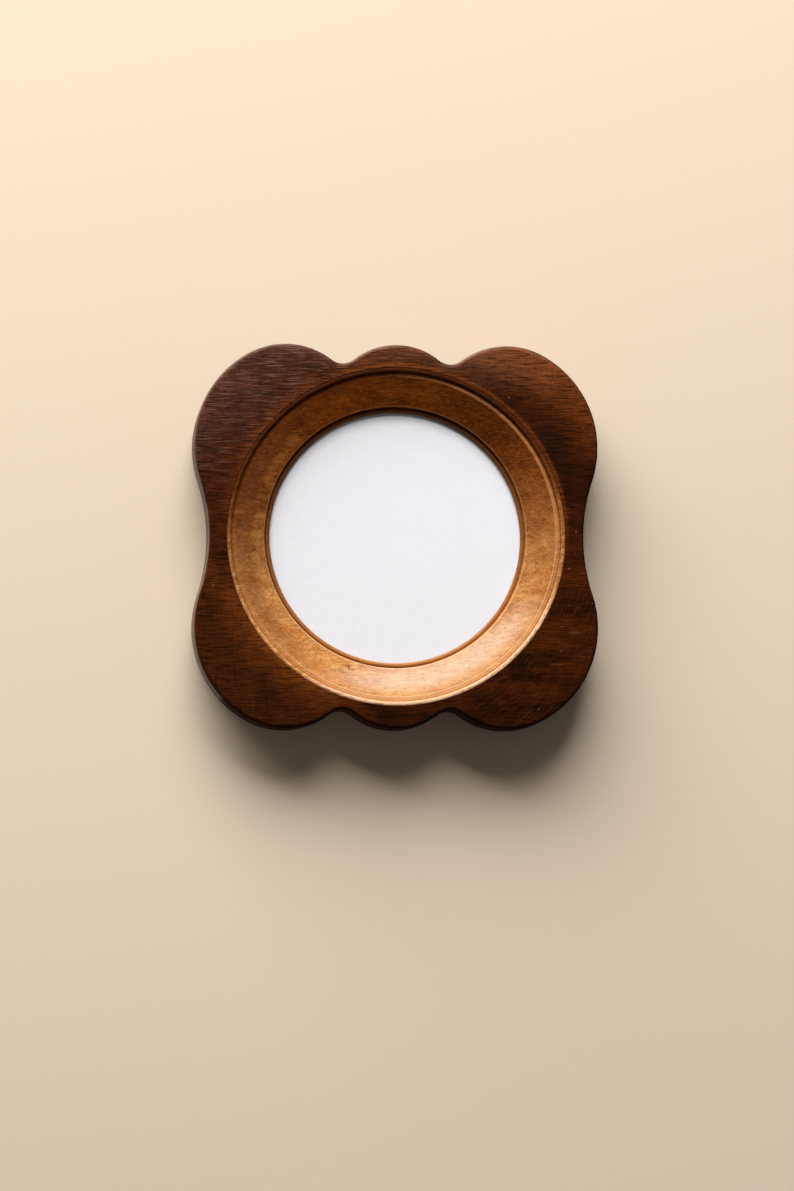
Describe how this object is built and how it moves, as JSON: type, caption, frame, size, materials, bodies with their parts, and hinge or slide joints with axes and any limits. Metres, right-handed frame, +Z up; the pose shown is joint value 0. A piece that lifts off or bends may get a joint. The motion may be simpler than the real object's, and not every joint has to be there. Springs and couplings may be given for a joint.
{
  "type": "round photo frame",
  "caption": "Wall-hung wooden photo frame: a dark scalloped board with a honey-coloured turned ring around a glazed round opening, turn buttons on the back and a swinging hanging ring.",
  "frame": {"origin": "on the wall plane, on the axis of the nail that the hanging ring hangs on", "axes": "+Z up the wall, +X to the viewer's right, +Y into the wall, so the picture faces -Y"},
  "size_m": [0.1608, 0.022, 0.1528],
  "materials": {
    "dark_stained_wood": "dark stained and waxed, fine grain across the board",
    "honey_wood": "turned, honey stained and polished, worn at the arrises",
    "steel_screws": "plain slotted steel",
    "clear_glass": "clear picture glass",
    "print_paper": "blank matt white paper",
    "filler_card": "grey card",
    "hardboard": "smooth brown hardboard",
    "aged_brass": "stamped brass, dulled with age",
    "felt": "dense pressed felt"
  },
  "bodies": {
    "frame": {"scalloped_board": "dark_stained_wood", "turned_ring": "honey_wood", "ring_screws": "steel_screws", "glass_pane": "clear_glass", "photo_print": "print_paper", "filler_card": "filler_card", "back_panel": "hardboard", "turn_button_screws": "aged_brass", "hanger_plate": "aged_brass", "hanger_screws": "aged_brass", "felt_pads": "felt"},
    "turn_button_upper_right": {"turn_button_upper_right": "aged_brass"},
    "turn_button_upper_left": {"turn_button_upper_left": "aged_brass"},
    "turn_button_lower_left": {"turn_button_lower_left": "aged_brass"},
    "turn_button_lower_right": {"turn_button_lower_right": "aged_brass"},
    "hanger_ring": {"hanger_ring": "aged_brass"}
  },
  "joints": [
    {"name": "turn_button_upper_right_pivot", "type": "hinge", "parent": "frame", "child": "turn_button_upper_right", "pos_m": [0.04525, -0.0032, -0.02285], "axis": [0, 1, 0], "range_deg": [-180, 180]},
    {"name": "turn_button_upper_left_pivot", "type": "hinge", "parent": "frame", "child": "turn_button_upper_left", "pos_m": [-0.04525, -0.0032, -0.02285], "axis": [0, 1, 0], "range_deg": [-180, 180]},
    {"name": "turn_button_lower_left_pivot", "type": "hinge", "parent": "frame", "child": "turn_button_lower_left", "pos_m": [-0.04525, -0.0032, -0.11335], "axis": [0, 1, 0], "range_deg": [-180, 180]},
    {"name": "turn_button_lower_right_pivot", "type": "hinge", "parent": "frame", "child": "turn_button_lower_right", "pos_m": [0.04525, -0.0032, -0.11335], "axis": [0, 1, 0], "range_deg": [-180, 180]},
    {"name": "hanger_ring_swing", "type": "hinge", "parent": "frame", "child": "hanger_ring", "pos_m": [0, -0.00222, -0.0066], "axis": [-1, 0, 0], "range_deg": [0, 175]}
  ]
}
